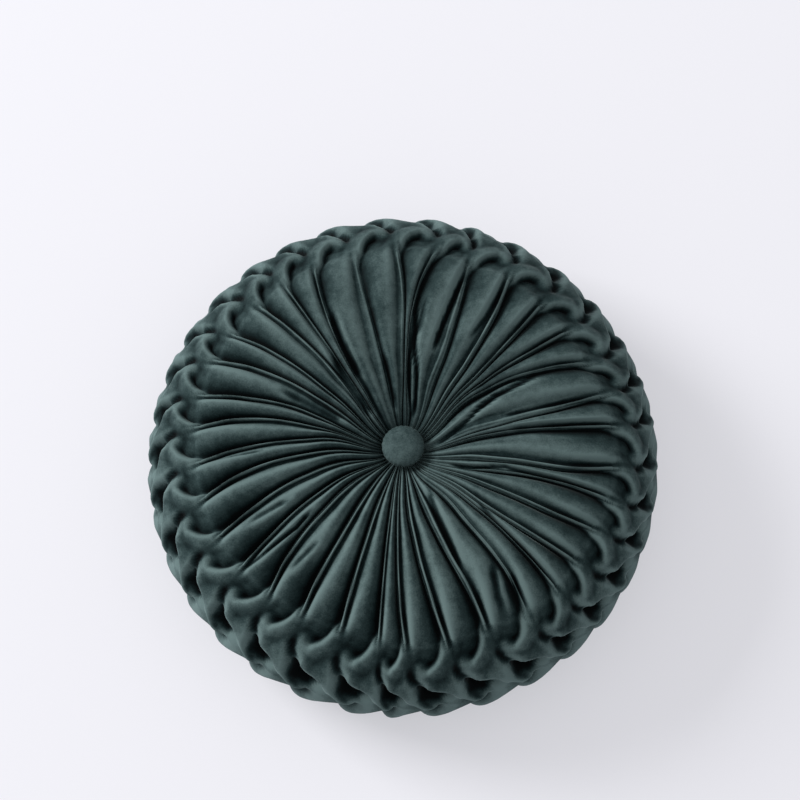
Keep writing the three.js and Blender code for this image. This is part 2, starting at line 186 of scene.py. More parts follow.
OUTLINE = [
    {"radius": 12, "height": 80, "crease": 0.3, "weave": 0},
    {"radius": 15, "height": 82.5, "crease": 1.6, "weave": 0},
    {"radius": 20, "height": 87, "crease": 3.2, "weave": 0},
    {"radius": 30, "height": 93.8, "crease": 4.6, "weave": 0},
    {"radius": 42, "height": 98.8, "crease": 5.8, "weave": 0},
    {"radius": 60, "height": 103, "crease": 6.8, "weave": 0},
    {"radius": 86, "height": BODY_HEIGHT, "crease": 7.8, "weave": 0},
    {"radius": 112, "height": 104.4, "crease": 9, "weave": 0},
    {"radius": 136, "height": 101.4, "crease": 10.5, "weave": 0.1},
    {"radius": 149, "height": 97, "crease": 12, "weave": 0.5},
    {"radius": NOTCH_RADIUS, "height": NOTCH_HEIGHT, "crease": 13, "weave": 0.88},
    {"radius": 165.5, "height": 88.5, "crease": 15.5, "weave": 1},
    {"radius": 172.8, "height": 83, "crease": 17, "weave": 1},
    {"radius": 179, "height": 76.5, "crease": 17, "weave": 1},
    {"radius": 184, "height": 69, "crease": 17, "weave": 1},
    {"radius": 187.8, "height": 61, "crease": 17, "weave": 1},
    {"radius": 190.3, "height": 53, "crease": 17, "weave": 1},
    {"radius": BODY_RADIUS, "height": 45, "crease": 17, "weave": 1},
    {"radius": BODY_RADIUS, "height": 37, "crease": 17, "weave": 1},
    {"radius": 190.2, "height": 29, "crease": 16, "weave": 1},
    {"radius": 187, "height": 21.5, "crease": 14, "weave": 1},
    {"radius": 181.3, "height": 14, "crease": 11, "weave": 1},
    {"radius": 172, "height": 6.5, "crease": 8, "weave": 1},
    {"radius": 160, "height": 1.5, "crease": 5, "weave": 1},
    {"radius": LOWER_RIM, "height": FLOOR, "crease": 0.4, "weave": 0},
    {"radius": 92, "height": FLOOR, "crease": 0.4, "weave": 0},
    {"radius": 64, "height": 3, "crease": 2.5, "weave": 0},
    {"radius": 38, "height": 10, "crease": 3.6, "weave": 0},
    {"radius": 20, "height": 17.5, "crease": 2.6, "weave": 0},
    {"radius": 13, "height": 22.3, "crease": 0.3, "weave": 0},
]


def outline_column(name):
    """One column of the outline, as an array."""
    return np.array([row[name] for row in OUTLINE], float)


steps = np.hypot(np.diff(outline_column("radius")), np.diff(outline_column("height")))
outline_down = np.concatenate([[0], np.cumsum(steps)])
outline_down -= outline_down[list(outline_column("radius")).index(NOTCH_RADIUS)]
lower_rim_down = outline_down[list(outline_column("radius")).index(LOWER_RIM)]
print("from button to notch", round(-outline_down[0]), "mm; round the side",
      round(lower_rim_down), "mm")

# %% [markdown]
# A table has few rows and the mesh has many rings, so the rows are joined by a smooth curve.
# This is the cubic that passes through the rows with the slope of their neighbours.

# %% Smooth curve through a table


def smooth(places, values, at):
    """Values at new places on a smooth curve through the given ones."""
    slope = np.gradient(values, places)
    i = np.clip(np.searchsorted(places, at) - 1, 0, len(places) - 2)
    span = places[i + 1] - places[i]
    t = (at - places[i]) / span
    start = (2 * t**3 - 3 * t**2 + 1) * values[i] + (t**3 - 2 * t**2 + t) * span * slope[i]
    end = (3 * t**2 - 2 * t**3) * values[i + 1] + (t**3 - t**2) * span * slope[i + 1]
    return start + end


def ease(value, low, high):
    """0 below low, 1 above high, and a soft step between."""
    t = np.clip((value - low) / (high - low), 0, 1)
    return t * t * (3 - 2 * t)


# %% [markdown]
# The rings of the mesh lie close together from the rim to below the third row of knots, where
# the plait shows best, and further apart elsewhere. Each row says where a stretch of them ends,
# in millimetres down from the notches, and how many it has. The lines that cross them crowd
# beside each crease, where the cloth turns sharply, so that a thin lip still has a few faces of
# its own. Their places are shares of the way from one crease to the next.

# %% Rings and lines of the mesh

RING_STRETCHES = [
    {"down": -22, "rings": 28},
    {"down": 86, "rings": 65},
    {"down": lower_rim_down, "rings": 19},
    {"down": outline_down[-1], "rings": 9},
]
ring_down = np.array([outline_down[0]])
for row in RING_STRETCHES:
    ring_down = np.append(ring_down, np.linspace(ring_down[-1], row["down"], row["rings"] + 1)[1:])
LINES = np.array([0, 0.014, 0.034, 0.065, 0.11, 0.165, 0.22, 0.275, 0.33, 0.385, 0.44, 0.495,
                  0.55, 0.605, 0.655, 0.70, 0.745, 0.785, 0.82, 0.855, 0.89, 0.925, 0.955, 0.98])
LINE_COUNT = FOLD_COUNT * len(LINES)
ring_radius = smooth(outline_down, outline_column("radius"), ring_down)
ring_height = np.maximum(smooth(outline_down, outline_column("height"), ring_down), FLOOR)
ring_crease = np.interp(ring_down, outline_down, outline_column("crease"))
ring_weave = np.interp(ring_down, outline_down, outline_column("weave"))
print(len(ring_down), "rings and", LINE_COUNT, "lines")

# %% [markdown]
# The smocking repeats once for each fold. The tables below follow the top of each fold of one
# repeat: across is in pitches clockwise from the notch, down is in millimetres along the side,
# and sunk is how far the fold lies below the outermost cloth. One flank of a fold is a cliff,
# ahead millimetres wide. The other is soft: it is behind millimetres wide and sinks by fall.
# Where the rows run straight down, the cliff is the clockwise flank.
#
# A roll comes over the rim from its pleat, bends round in the shape of a U and ends in a foot.
# The pleat beside it dips into that U. From the foot a flat second fold runs back to the next
# knot, where it bends round a pocket of its own, and a third one runs forth again below it.
# The lower stem takes the cloth from the last knots down to the lower rim.

# %% Tables of the smocked folds

ROLL = [
    {"across": -0.4, "down": -44, "sunk": 0, "ahead": 8, "behind": 20, "fall": 9},
    {"across": -0.36, "down": -30, "sunk": 0, "ahead": 7, "behind": 20, "fall": 9},
    {"across": -0.22, "down": -16, "sunk": 0, "ahead": 5.5, "behind": 17, "fall": 8},
    {"across": -0.06, "down": -5, "sunk": 0, "ahead": 4.5, "behind": 12, "fall": 6},
    {"across": 0.1, "down": 4.5, "sunk": 0, "ahead": 4, "behind": 9, "fall": 4},
    {"across": 0.24, "down": 10, "sunk": 0.3, "ahead": 3.6, "behind": 11, "fall": 4},
    {"across": 0.4, "down": 14.5, "sunk": 0.8, "ahead": 3.4, "behind": 12, "fall": 4},
    {"across": 0.54, "down": 15.8, "sunk": 1.3, "ahead": 3.4, "behind": 9, "fall": 4},
    {"across": 0.66, "down": 14, "sunk": 2, "ahead": 3.4, "behind": 6, "fall": 4.5},
    {"across": 0.76, "down": 10, "sunk": 3.2, "ahead": 3.4, "behind": 4.5, "fall": 5},
    {"across": 0.84, "down": 5, "sunk": 5, "ahead": 4, "behind": 4, "fall": 6},
    {"across": 0.9, "down": -2, "sunk": 8, "ahead": 4, "behind": 4, "fall": 6},
]
FOOT_EDGE = [
    {"across": 0.82, "down": 3, "sunk": 5.5, "ahead": 2.6, "behind": 6, "fall": 2},
    {"across": 0.73, "down": 12, "sunk": 3.2, "ahead": 2.6, "behind": 7, "fall": 2},
    {"across": 0.62, "down": 20, "sunk": 2, "ahead": 2.6, "behind": 8, "fall": 1.5},
    {"across": 0.51, "down": 26.5, "sunk": 1.3, "ahead": 2.6, "behind": 8, "fall": 1.5},
    {"across": 0.45, "down": 28, "sunk": 2, "ahead": 2.6, "behind": 6, "fall": 1.5},
]
DIP = [
    {"across": 0.36, "down": -44, "sunk": 1, "ahead": 14, "behind": 13, "fall": 8},
    {"across": 0.42, "down": -20, "sunk": 1.5, "ahead": 12, "behind": 13, "fall": 7},
    {"across": 0.5, "down": -9, "sunk": 2.4, "ahead": 10, "behind": 13, "fall": 6},
    {"across": 0.56, "down": -1, "sunk": 4.2, "ahead": 9, "behind": 12, "fall": 5.5},
    {"across": 0.58, "down": 5, "sunk": 7.5, "ahead": 7, "behind": 8, "fall": 5},
]
SECOND_FOLD = [
    {"across": 0.5, "down": 29.5, "sunk": 3.6, "ahead": 3, "behind": 8, "fall": 2},
    {"across": 0.33, "down": 31.5, "sunk": 2.8, "ahead": 3, "behind": 12, "fall": 2},
    {"across": 0.14, "down": 33.3, "sunk": 1.8, "ahead": 3, "behind": 13, "fall": 2},
    {"across": -0.04, "down": 35, "sunk": 0.8, "ahead": 3.2, "behind": 7, "fall": 3},
    {"across": -0.18, "down": 39.5, "sunk": 0.2, "ahead": 3.2, "behind": 4, "fall": 6},
    {"across": -0.31, "down": 46, "sunk": 0.2, "ahead": 3.2, "behind": 3, "fall": 9},
    {"across": -0.42, "down": 51, "sunk": 0.4, "ahead": 3.2, "behind": 3, "fall": 10},
    {"across": -0.53, "down": 52.8, "sunk": 1, "ahead": 3.2, "behind": 3, "fall": 10},
    {"across": -0.66, "down": 51, "sunk": 2, "ahead": 3.2, "behind": 3, "fall": 9},
    {"across": -0.8, "down": 46.5, "sunk": 3.6, "ahead": 3.2, "behind": 3, "fall": 8},
    {"across": -0.96, "down": 40.5, "sunk": 7, "ahead": 3.2, "behind": 3, "fall": 6},
]
SECOND_BEND = [
    {"across": -0.22, "down": 39, "sunk": 0.8, "ahead": 2.8, "behind": 7, "fall": 1.5},
    {"across": -0.11, "down": 29, "sunk": 1.6, "ahead": 2.8, "behind": 9, "fall": 1.5},
    {"across": -0.02, "down": 19, "sunk": 2.8, "ahead": 2.8, "behind": 9, "fall": 1.5},
    {"across": 0.01, "down": 11, "sunk": 4, "ahead": 2.6, "behind": 7, "fall": 1.5},
]
THIRD_FOLD = [
    {"across": 0.96, "down": 65, "sunk": 7, "ahead": 3.5, "behind": 3.5, "fall": 6},
    {"across": 0.82, "down": 70.5, "sunk": 4, "ahead": 3.5, "behind": 3.5, "fall": 8},
    {"across": 0.68, "down": 75.5, "sunk": 2.2, "ahead": 3.5, "behind": 3.5, "fall": 9},
    {"across": 0.55, "down": 78, "sunk": 1, "ahead": 3.5, "behind": 3.5, "fall": 10},
    {"across": 0.44, "down": 77, "sunk": 0.4, "ahead": 3.5, "behind": 3.5, "fall": 10},
    {"across": 0.33, "down": 72, "sunk": 0.2, "ahead": 3.5, "behind": 3.5, "fall": 9},
    {"across": 0.2, "down": 65, "sunk": 0.2, "ahead": 3.5, "behind": 4, "fall": 6},
    {"across": 0.06, "down": 60.5, "sunk": 0.8, "ahead": 3.5, "behind": 6, "fall": 3},
    {"across": -0.14, "down": 58.5, "sunk": 1.8, "ahead": 3, "behind": 13, "fall": 2},
    {"across": -0.33, "down": 56.5, "sunk": 3, "ahead": 3, "behind": 12, "fall": 2},
    {"across": -0.5, "down": 54.5, "sunk": 4, "ahead": 3, "behind": 8, "fall": 2},
]
THIRD_BEND = [
    {"across": 0.02, "down": 41, "sunk": 6, "ahead": 3.5, "behind": 6, "fall": 2},
    {"across": 0.04, "down": 47, "sunk": 3, "ahead": 3.5, "behind": 9, "fall": 1.5},
    {"across": 0.12, "down": 56, "sunk": 1.6, "ahead": 3.5, "behind": 9, "fall": 1.5},
    {"across": 0.22, "down": 65, "sunk": 0.8, "ahead": 3.5, "behind": 7, "fall": 1.5},
]
LOWER_STEM = [
    {"across": 0.5, "down": 80, "sunk": 3.5, "ahead": 5, "behind": 12, "fall": 4},
    {"across": 0.3, "down": 86, "sunk": 1.5, "ahead": 8, "behind": 16, "fall": 6},
    {"across": 0.08, "down": 97, "sunk": 0.5, "ahead": 10, "behind": 14, "fall": 8},
    {"across": -0.08, "down": 111, "sunk": 0, "ahead": 12, "behind": 12, "fall": 8},
    {"across": -0.2, "down": 134, "sunk": 0, "ahead": 16, "behind": 12, "fall": 8},
]
SMOCKED_FOLDS = [ROLL, FOOT_EDGE, DIP, SECOND_FOLD, SECOND_BEND, THIRD_FOLD, THIRD_BEND,
                 LOWER_STEM]

# %% [markdown]
# Where is each point of the mesh on the cloth? Down is its distance from the notches. Across
# counts folds: 3.5 is halfway between crease 3 and crease 4. On the side the lines lean with
# the zigzag, so that the top of a fold stays on one line of the mesh and keeps a clean edge.
# The rows of the table give that lean, in pitches clockwise.

# %% Place of every point on the cloth

LEAN_OF_LINES = [
    {"down": -60, "across": 0},
    {"down": -8, "across": 0},
    {"down": 13, "across": 0.45},
    {"down": 29, "across": 0.5},
    {"down": 53, "across": -0.45},
    {"down": 78, "across": 0.45},
    {"down": 112, "across": -0.1},
    {"down": 160, "across": 0},
]
line_share = (np.arange(FOLD_COUNT)[:, None] + LINES[None, :]).ravel()
lean_down = np.array([row["down"] for row in LEAN_OF_LINES], float)
lean_across = np.array([row["across"] for row in LEAN_OF_LINES], float)
ring_lean = np.interp(ring_down, lean_down, lean_across)


def on_every_line(ring_values):
    """Repeats a value of each ring for all the lines that cross it."""
    return np.repeat(ring_values[:, None], LINE_COUNT, axis=1)


across = line_share[None, :] + ring_lean[:, None]
down = on_every_line(ring_down)
radius = on_every_line(ring_radius)
height = on_every_line(ring_height)
crease = on_every_line(ring_crease)
weave = on_every_line(ring_weave)
pitch = np.radians(EVEN_PITCH) * radius
fold = np.floor(across).astype(int)
share = across - fold
nearest = np.round(across).astype(int)

# %% [markdown]
# A crease bows on its way in to the button. Its bearing on a ring comes from the smooth curve
# through its five measured places, and a point lies between the two creases beside it. Where
# the notches lie nearer to the middle or further out, the cloth round them is shifted too.

# %% Bearing of every point

place_radius = np.array(list(BEARING_PLACES.values()), float)
held_radius = np.clip(ring_radius, place_radius[0], NOTCH_RADIUS)
on_face = np.where(ring_down < 0, held_radius, NOTCH_RADIUS)
crease_bearings = np.array([
    smooth(place_radius, np.array([row[name] for name in BEARING_PLACES], float), on_face)
    for row in FOLDS])


def crease_bearing(index):
    """Bearing of the crease with this number, on the ring of the same row."""
    ring = np.arange(len(ring_down))[:, None]
    return crease_bearings[index % FOLD_COUNT, ring] + 360 * np.floor(index / FOLD_COUNT)


bearing = crease_bearing(fold) * (1 - share) + crease_bearing(fold + 1) * share
RIM_REACH = 46  # how far from the notches their shift is felt, in millimetres
rim_shift = fold_column("rim") - NOTCH_RADIUS
this_shift = rim_shift[fold % FOLD_COUNT]
next_shift = rim_shift[(fold + 1) % FOLD_COUNT]
shift_here = this_shift * (1 - share) + next_shift * share
radius_shift = shift_here * (1 - ease(np.abs(down), 0, RIM_REACH))
print("bearings run from", round(bearing.min()), "to", round(bearing.max()), "degrees")

# %% [markdown]
# Relief of the pleats. Going clockwise, each rises from its crease into a soft pillow, sinks
# into a trough, and ends in a thin lip beside the next crease. Out towards the rim the
# pillow's top moves over to the lip's side and grows into the roll that the smocking catches.

# %% Relief of the pleats


def pick(name, index):
    """A column of the fold table for an array of fold numbers."""
    return fold_column(name)[index % FOLD_COUNT]


INNER_RIDGE = 0.42  # where a pleat's top lies on the inner slope, as a share of its width
RIDGE_FROM = 88  # radius from which the top moves over to its place at the rim
RIDGE_TO = 148
GAP = 0.9  # clear width of the crease, in millimetres
LIP_HALF = 0.85  # half of a lip's width
TROUGH = 4.2  # distance of a trough's bottom from the crease
GAP_CAP = 0.1  # the most that the gap may take of a pleat, which is narrow near the button
LIP_CAP = 0.09
TROUGH_CAP = 0.34

rim = ease(radius, RIDGE_FROM, RIDGE_TO)
top = INNER_RIDGE + (pick("ridge", fold) - INNER_RIDGE) * rim
gap_share = np.minimum(GAP / pitch, GAP_CAP)
lip_half = np.minimum(LIP_HALF / pitch, LIP_CAP)
trough_share = np.minimum(TROUGH / pitch, TROUGH_CAP)
lip_place = 1 - gap_share - lip_half
trough_place = 1 - trough_share
rising = np.clip((top - share) / (top - gap_share), 0, 1)
falling = np.clip((share - top) / (trough_place - top), 0, 1)

RISING_POWER = 3.4  # the higher this is, the flatter a pleat's top and the steeper its foot
RISING_CHANGE = 1.1  # how much lower it is at the rim
FALLING_POWER = 2.0  # the same for the side that sinks into the trough
FALLING_CHANGE = 0.6  # how much higher it is at the rim
TROUGH_DEPTH = 0.6  # depth of a trough, as a share of the crease's
TROUGH_CHANGE = 0.22  # how much deeper it is at the rim

rising_slope = rising ** (RISING_POWER - RISING_CHANGE * rim)
falling_slope = falling ** (FALLING_POWER + FALLING_CHANGE * rim)
falling_slope = falling_slope * (TROUGH_DEPTH + TROUGH_CHANGE * rim)
pleats = crease * pick("swell", fold) * np.where(share < top, rising_slope, falling_slope)

# %% Lips beside the creases

FULL_LIP = 1.05  # a lip of height 1 stays a twentieth of the crease's depth below the tops
LIP_SINKS = 9  # how far a lip sinks on its way into the notch, in millimetres
SINKS_FROM = -14
SINKS_TO = 4
LIP_FLANK = 0.55  # how much of the crease's depth a lip falls by within half of its width
EDGE_POWER = 1.5  # how roundly the cloth turns from the lip down into the crease

lip_off = np.abs(share - lip_place) / lip_half
lip_sunk = crease * (FULL_LIP - pick("lip", fold)) + LIP_SINKS * ease(down, SINKS_FROM, SINKS_TO)
lips = lip_sunk + crease * LIP_FLANK * lip_off**2
pleats = np.minimum(pleats, lips)
edge = np.clip((share - lip_place) / (1 - lip_place), 0, 1)
pleats = np.maximum(pleats, crease * edge**EDGE_POWER)
print("the pleats are up to", round(pleats.max(), 1), "mm deep")

# %% [markdown]
# No two pleats are alike: spare cloth makes shorter creases that start or end in a pleat. Each
# row follows one of them, as bearings in degrees at a few radii. Deep is the depth of its
# groove, wide its width, and lip the height of the lip on its anticlockwise side.

# %% Short creases

SHORT_CREASES = [
    {"radii": [24, 40, 56, 70, 104], "bearings": [18, 13, 9.9, 6.5, 4.9],
     "deep": 4, "wide": 1.6, "lip": 1},
    {"radii": [76, 96, 120, 150], "bearings": [17.2, 17.7, 18.4, 19.6],
     "deep": 6, "wide": 1.6, "lip": 1},
    {"radii": [82, 112], "bearings": [7.4, 8.2],
     "deep": 2.5, "wide": 2.2, "lip": 0},
    {"radii": [94, 112, 148], "bearings": [31.8, 32.2, 31.2],
     "deep": 2.2, "wide": 1.6, "lip": 0},
    {"radii": [24, 38, 58, 74, 108], "bearings": [83, 73.2, 65.7, 62.9, 62.2],
     "deep": 4.5, "wide": 1.8, "lip": 1.5},
    {"radii": [78, 140], "bearings": [74.6, 75],
     "deep": 2.5, "wide": 1.2, "lip": 1},
    {"radii": [80, 150], "bearings": [82.7, 83.6],
     "deep": 3, "wide": 1.8, "lip": 1.2},
    {"radii": [38, 54, 66, 76, 116, 150], "bearings": [113.6, 109.3, 105.7, 104.2, 103.6, 104.1],
     "deep": 4, "wide": 1.2, "lip": 1.2},
    {"radii": [74, 118, 154], "bearings": [131, 132.4, 134.4],
     "deep": 4, "wide": 1.4, "lip": 1.5},
    {"radii": [40, 60, 104], "bearings": [153.6, 155, 156],
     "deep": 3.5, "wide": 2.4, "lip": 1.2},
    {"radii": [112, 132, 152], "bearings": [145.6, 149, 150.6],
     "deep": 2.6, "wide": 3.2, "lip": 2},
    {"radii": [126, 156], "bearings": [141.3, 145],
     "deep": 3, "wide": 2, "lip": 0.8},
    {"radii": [86, 100, 136, 156], "bearings": [231.3, 229.9, 230.1, 230.6],
     "deep": 5, "wide": 1.6, "lip": 1},
    {"radii": [94, 130], "bearings": [242, 241.3],
     "deep": 3, "wide": 2.2, "lip": 0.8},
    {"radii": [102, 146], "bearings": [265.7, 263.8],
     "deep": 2.2, "wide": 1.3, "lip": 0.8},
    {"radii": [48, 74, 98], "bearings": [290.6, 292.4, 293.4],
     "deep": 4.5, "wide": 3, "lip": 1},
    {"radii": [34, 60, 86], "bearings": [314.6, 318.6, 321.2],
     "deep": 6.5, "wide": 3, "lip": 0.6},
    {"radii": [60, 90, 114], "bearings": [327, 329.2, 331.6],
     "deep": 6, "wide": 2.4, "lip": 1},
    {"radii": [30, 70], "bearings": [347.8, 347.8],
     "deep": 4, "wide": 2.2, "lip": 0.4},
    {"radii": [96, 128], "bearings": [219.2, 220.4],
     "deep": 2.5, "wide": 2, "lip": 0.6},
    {"radii": [66, 112], "bearings": [53.6, 55.4],
     "deep": 1.2, "wide": 4, "lip": 0},
]
FADE = 14  # length over which a short crease fades out, in millimetres
OVERRUN = 4  # how far beyond its two ends it can still be felt
LIP_AWAY = 1.7  # distance of its lip from its middle, in widths of the groove
LIP_WIDE = 0.8  # width of that lip, in the same measure
for row in SHORT_CREASES:
    radii, bearings = np.array(row["radii"], float), np.array(row["bearings"], float)
    route = np.interp(radius, radii, bearings)
    off = ((bearing - route + 180) % 360 - 180) * np.radians(1) * radius
    present = ease(radius, radii[0] - OVERRUN, radii[0] + FADE / 2)
    ended = ease(radius, radii[-1] - FADE, radii[-1] + OVERRUN)
    present = present * (1 - ended) * (down < 0)
    groove = row["deep"] * np.exp(-((off / row["wide"]) ** 2))
    lip_reach = (off + row["wide"] * LIP_AWAY) / (row["wide"] * LIP_WIDE)
    lip = row["lip"] * np.exp(-(lip_reach**2))
    deepest = np.maximum(pleats, crease)
    pleats = np.minimum(np.maximum(pleats + (groove - lip) * present, 0), deepest)
print(len(SHORT_CREASES), "short creases")

# %% [markdown]
# Relief of the smocking. For every point this finds the nearest place on each fold's line, and
# works out how far its flank has fallen away there. Where folds cross, the one that lies
# highest is seen, as with real cloth, so the least depth wins.

# %% Relief of the smocking

ROUND = 3.0  # how square the shoulder above a cliff is
SOFT = 1.7  # how rounded the top of a soft flank is
FALL = 0.85  # share of the crease's depth that a cliff falls by
STEEP = 2.2  # how fast the cloth drops beyond the edge of a flank
NO_FOLD = 99.0  # the depth to start from, deeper than any fold


def between(start, end, name, part):
    """A column of the table, partway from one row to the next."""
    return start[name] + (end[name] - start[name]) * part


def fold_depth(rows, over, along):
    """Depth of one smocked fold at points given by pitches over and millimetres along."""
    depth = np.full(over.shape, NO_FOLD)
    for start, end in zip(rows[:-1], rows[1:]):
        run_x = (end["across"] - start["across"]) * pitch
        run_y = end["down"] - start["down"]
        off_x = (over - start["across"]) * pitch
        off_y = along - start["down"]
        part = np.clip((off_x * run_x + off_y * run_y) / (run_x**2 + run_y**2), 0, 1)
        distance = np.hypot(off_x - part * run_x, off_y - part * run_y)
        on_cliff = run_y * off_x - run_x * off_y > 0
        ahead = between(start, end, "ahead", part)
        behind = between(start, end, "behind", part)
        width = np.where(on_cliff, ahead, behind)
        reach = np.minimum(distance / width, 1)
        cliff = crease * FALL * (1 - (1 - reach**ROUND) ** (1 / ROUND))
        flank = between(start, end, "fall", part) * reach**SOFT
        beyond = np.maximum(distance - width, 0) * STEEP
        here = between(start, end, "sunk", part) + np.where(on_cliff, cliff, flank) + beyond
        depth = np.minimum(depth, here)
    return depth


smocking = crease.copy()
for rows in SMOCKED_FOLDS:
    for shift in (-1, 0, 1):
        smocking = np.minimum(smocking, fold_depth(rows, across - nearest - shift, down))

# %% [markdown]
# Where a cliff runs aslant over the mesh it would come out ragged, so the smocking is softened
# by averaging each point with its neighbours. Once is enough near the rim. From the second
# knots down, where the lines of the mesh lean most, it takes a few times.

# %% Join pleats and smocking


def blurred(values, passes):
    """The grid of values, softened by averaging each with its neighbours again and again."""
    for _ in range(passes):
        values = (np.roll(values, 1, axis=1) + 2 * values + np.roll(values, -1, axis=1)) / 4
        edged = np.pad(values, ((1, 1), (0, 0)), mode="edge")
        values = (edged[:-2] + 2 * values + edged[2:]) / 4
    return values


UPPER_PASSES = 1
LOWER_PASSES = 4
LOWER_FROM = 44  # the one gives way to the other between these, in millimetres down
LOWER_TO = 60
lower = ease(down, LOWER_FROM, LOWER_TO)
softened = blurred(smocking, UPPER_PASSES) * (1 - lower) + blurred(smocking, LOWER_PASSES) * lower
depth = pleats * (1 - weave) + softened * weave
print("the deepest valley is", round(depth.max(), 1), "mm")

# %% [markdown]
# Shade is painted into the valleys of the velvet, and a highlight along its folds. To tell the
# material where they are, the depth of the cloth is compared with its blurred self: below its
# surroundings it is a hollow and gets painted shade, and above them a crest and gets a painted
# highlight. The deepest places get painted shade whatever lies beside them. The flanks which
# rise clockwise get painted shade, and the ones which fall get painted light. The result is
# kept on the mesh.

# %% Painted shade in hollows, painted highlight on crests

BROAD_PASSES = 50
BROAD_RELIEF = 7.0  # height over the surroundings that counts as a full crest, in millimetres
FINE_PASSES = 3
FINE_RELIEF = 1.0  # the same for the narrow surroundings, which pick out the edges
DEEP_FROM = 7.0  # painted shade darkens the cloth steadily below this depth
DEEP_RANGE = 16.0
FLANK_LIGHT_PASSES = 8
STEEPEST_FLANK = 0.6  # a flank this steep, or steeper, gets the full painted light if it falls and the full painted shade if it rises
MIDDLE_CREST = 0.5  # cloth that is neither a hollow nor a crest
BROAD_SHARE = 0.5  # how much each of the three counts
FINE_SHARE = 0.28
FLANK_LIGHT_SHARE = 0.16

# hollows, broad and narrow, get painted shade, and crests and crisp edges a painted highlight
broad = np.clip((blurred(depth, BROAD_PASSES) - depth) / BROAD_RELIEF, -1, 1)
fine = np.clip((blurred(depth, FINE_PASSES) - depth) / FINE_RELIEF, -1, 1)
# painted shade that grows with the depth of the cloth
deep = np.maximum(depth - DEEP_FROM, 0) / DEEP_RANGE
# painted light on the flanks that fall clockwise, painted shade on those that rise
line_step = (np.roll(line_share, -1) - np.roll(line_share, 1)) % FOLD_COUNT
flank = (np.roll(depth, -1, axis=1) - np.roll(depth, 1, axis=1)) / (line_step * pitch)
flank_light_and_shade = np.clip(blurred(flank, FLANK_LIGHT_PASSES) / STEEPEST_FLANK, -1, 1)
# all of the painted shade and highlight in one value, 0 darkest and 1 lightest
crest = MIDDLE_CREST + BROAD_SHARE * broad + FINE_SHARE * fine - deep + FLANK_LIGHT_SHARE * flank_light_and_shade
crest = np.clip(crest, 0, 1)
print("crest runs from", round(crest.min(), 2), "to", round(crest.max(), 2))

# %% [markdown]
# The cover itself. Half of its outline is a chain of points. Spin turns it about the upright
# axis through one fold's angle, and a second spin repeats that wedge once for each fold. Every
# point of the smooth turned body is then pushed in along its own normal by the depth of the
# cloth there, as a sculptor presses folds into clay. The two ends of the chain lie on the
# axis, under the buttons, and their copies are merged into one point each.

# %% Turn the body

POLE = -1  # ring number of the two points on the axis


def turned_body(name):
    """A body of revolution with one ring for each ring of the cloth, and closed poles."""
    body = bmesh.new()
    ring_number = body.verts.layers.int.new("ring")
    chain = [body.verts.new((0, 0, ring_height[0] * MM))]
    chain[0][ring_number] = POLE
    for number, (ring_r, ring_z) in enumerate(zip(ring_radius, ring_height)):
        chain.append(body.verts.new((0, ring_r * MM, ring_z * MM)))
        chain[-1][ring_number] = number
    chain.append(body.verts.new((0, 0, ring_height[-1] * MM)))
    chain[-1][ring_number] = POLE
    edges = [body.edges.new(pair) for pair in zip(chain[:-1], chain[1:])]
    wedge = -2 * math.pi / FOLD_COUNT
    turning = {"cent": (0, 0, 0), "axis": (0, 0, 1), "dvec": (0, 0, 0)}
    bmesh.ops.spin(body, geom=chain + edges, angle=wedge, steps=len(LINES), **turning)
    bmesh.ops.spin(body, geom=body.verts[:] + body.edges[:] + body.faces[:], use_duplicate=True,
                   angle=wedge * (FOLD_COUNT - 1), steps=FOLD_COUNT - 1, **turning)
    bmesh.ops.remove_doubles(body, verts=body.verts, dist=1e-6)
    bmesh.ops.recalc_face_normals(body, faces=body.faces)
    mesh = bpy.data.meshes.new(name)
    body.to_mesh(mesh)
    body.free()
    return mesh


def points_of(mesh):
    """The mesh's points as an array with a row for each."""
    points = np.empty(len(mesh.vertices) * 3)
    mesh.vertices.foreach_get("co", points)
    return points.reshape(-1, 3)


cover_mesh = turned_body("velvet_cover")
print("turned body:", len(cover_mesh.vertices), "points,", len(cover_mesh.polygons), "faces")

# %% Press the folds into it

along_r = np.gradient(ring_radius, ring_down)
along_z = np.gradient(ring_height, ring_down)
along = np.hypot(along_r, along_z)
in_r = (along_z / along)[:, None]
in_z = (-along_r / along)[:, None]
point_r = radius + radius_shift + in_r * depth
point_z = np.maximum(height + in_z * depth, FLOOR)
angle = np.radians(bearing)
folded = np.stack([point_r * np.sin(angle), point_r * np.cos(angle), point_z], axis=-1) * MM

points = points_of(cover_mesh)
ring_of = np.empty(len(points), int)
cover_mesh.attributes["ring"].data.foreach_get("value", ring_of)
turn = np.arctan2(points[:, 0], points[:, 1]) / (2 * math.pi)
line_of = np.round(turn * LINE_COUNT).astype(int) % LINE_COUNT
on_cloth = ring_of != POLE
points[on_cloth] = folded[ring_of[on_cloth], line_of[on_cloth]]
cover_mesh.vertices.foreach_set("co", points.ravel())
# the painted shade and highlight go on the cover as an attribute that sets the velvet's colour
shade_and_highlight_of = np.full(len(points), MIDDLE_CREST)
shade_and_highlight_of[on_cloth] = crest[ring_of[on_cloth], line_of[on_cloth]]
cover_mesh.attributes.new("crest", "FLOAT", "POINT").data.foreach_set("value", shade_and_highlight_of)
cover_mesh.attributes.remove(cover_mesh.attributes["ring"])
cover_mesh.polygons.foreach_set("use_smooth", [True] * len(cover_mesh.polygons))
cover_mesh.update()

cover = bpy.data.objects.new("velvet_cover", cover_mesh)
bpy.context.collection.objects.link(cover)
print("cover:", tuple(round(size, 3) for size in cover.dimensions))

# %% [markdown]
# The buttons. A covered button is a domed shell with a circle of the same cloth drawn round
# its edge. Its outline is spun like the cover's, and the cloth is puckered a little where the
# gathers run over the edge.

# %% Covered buttons

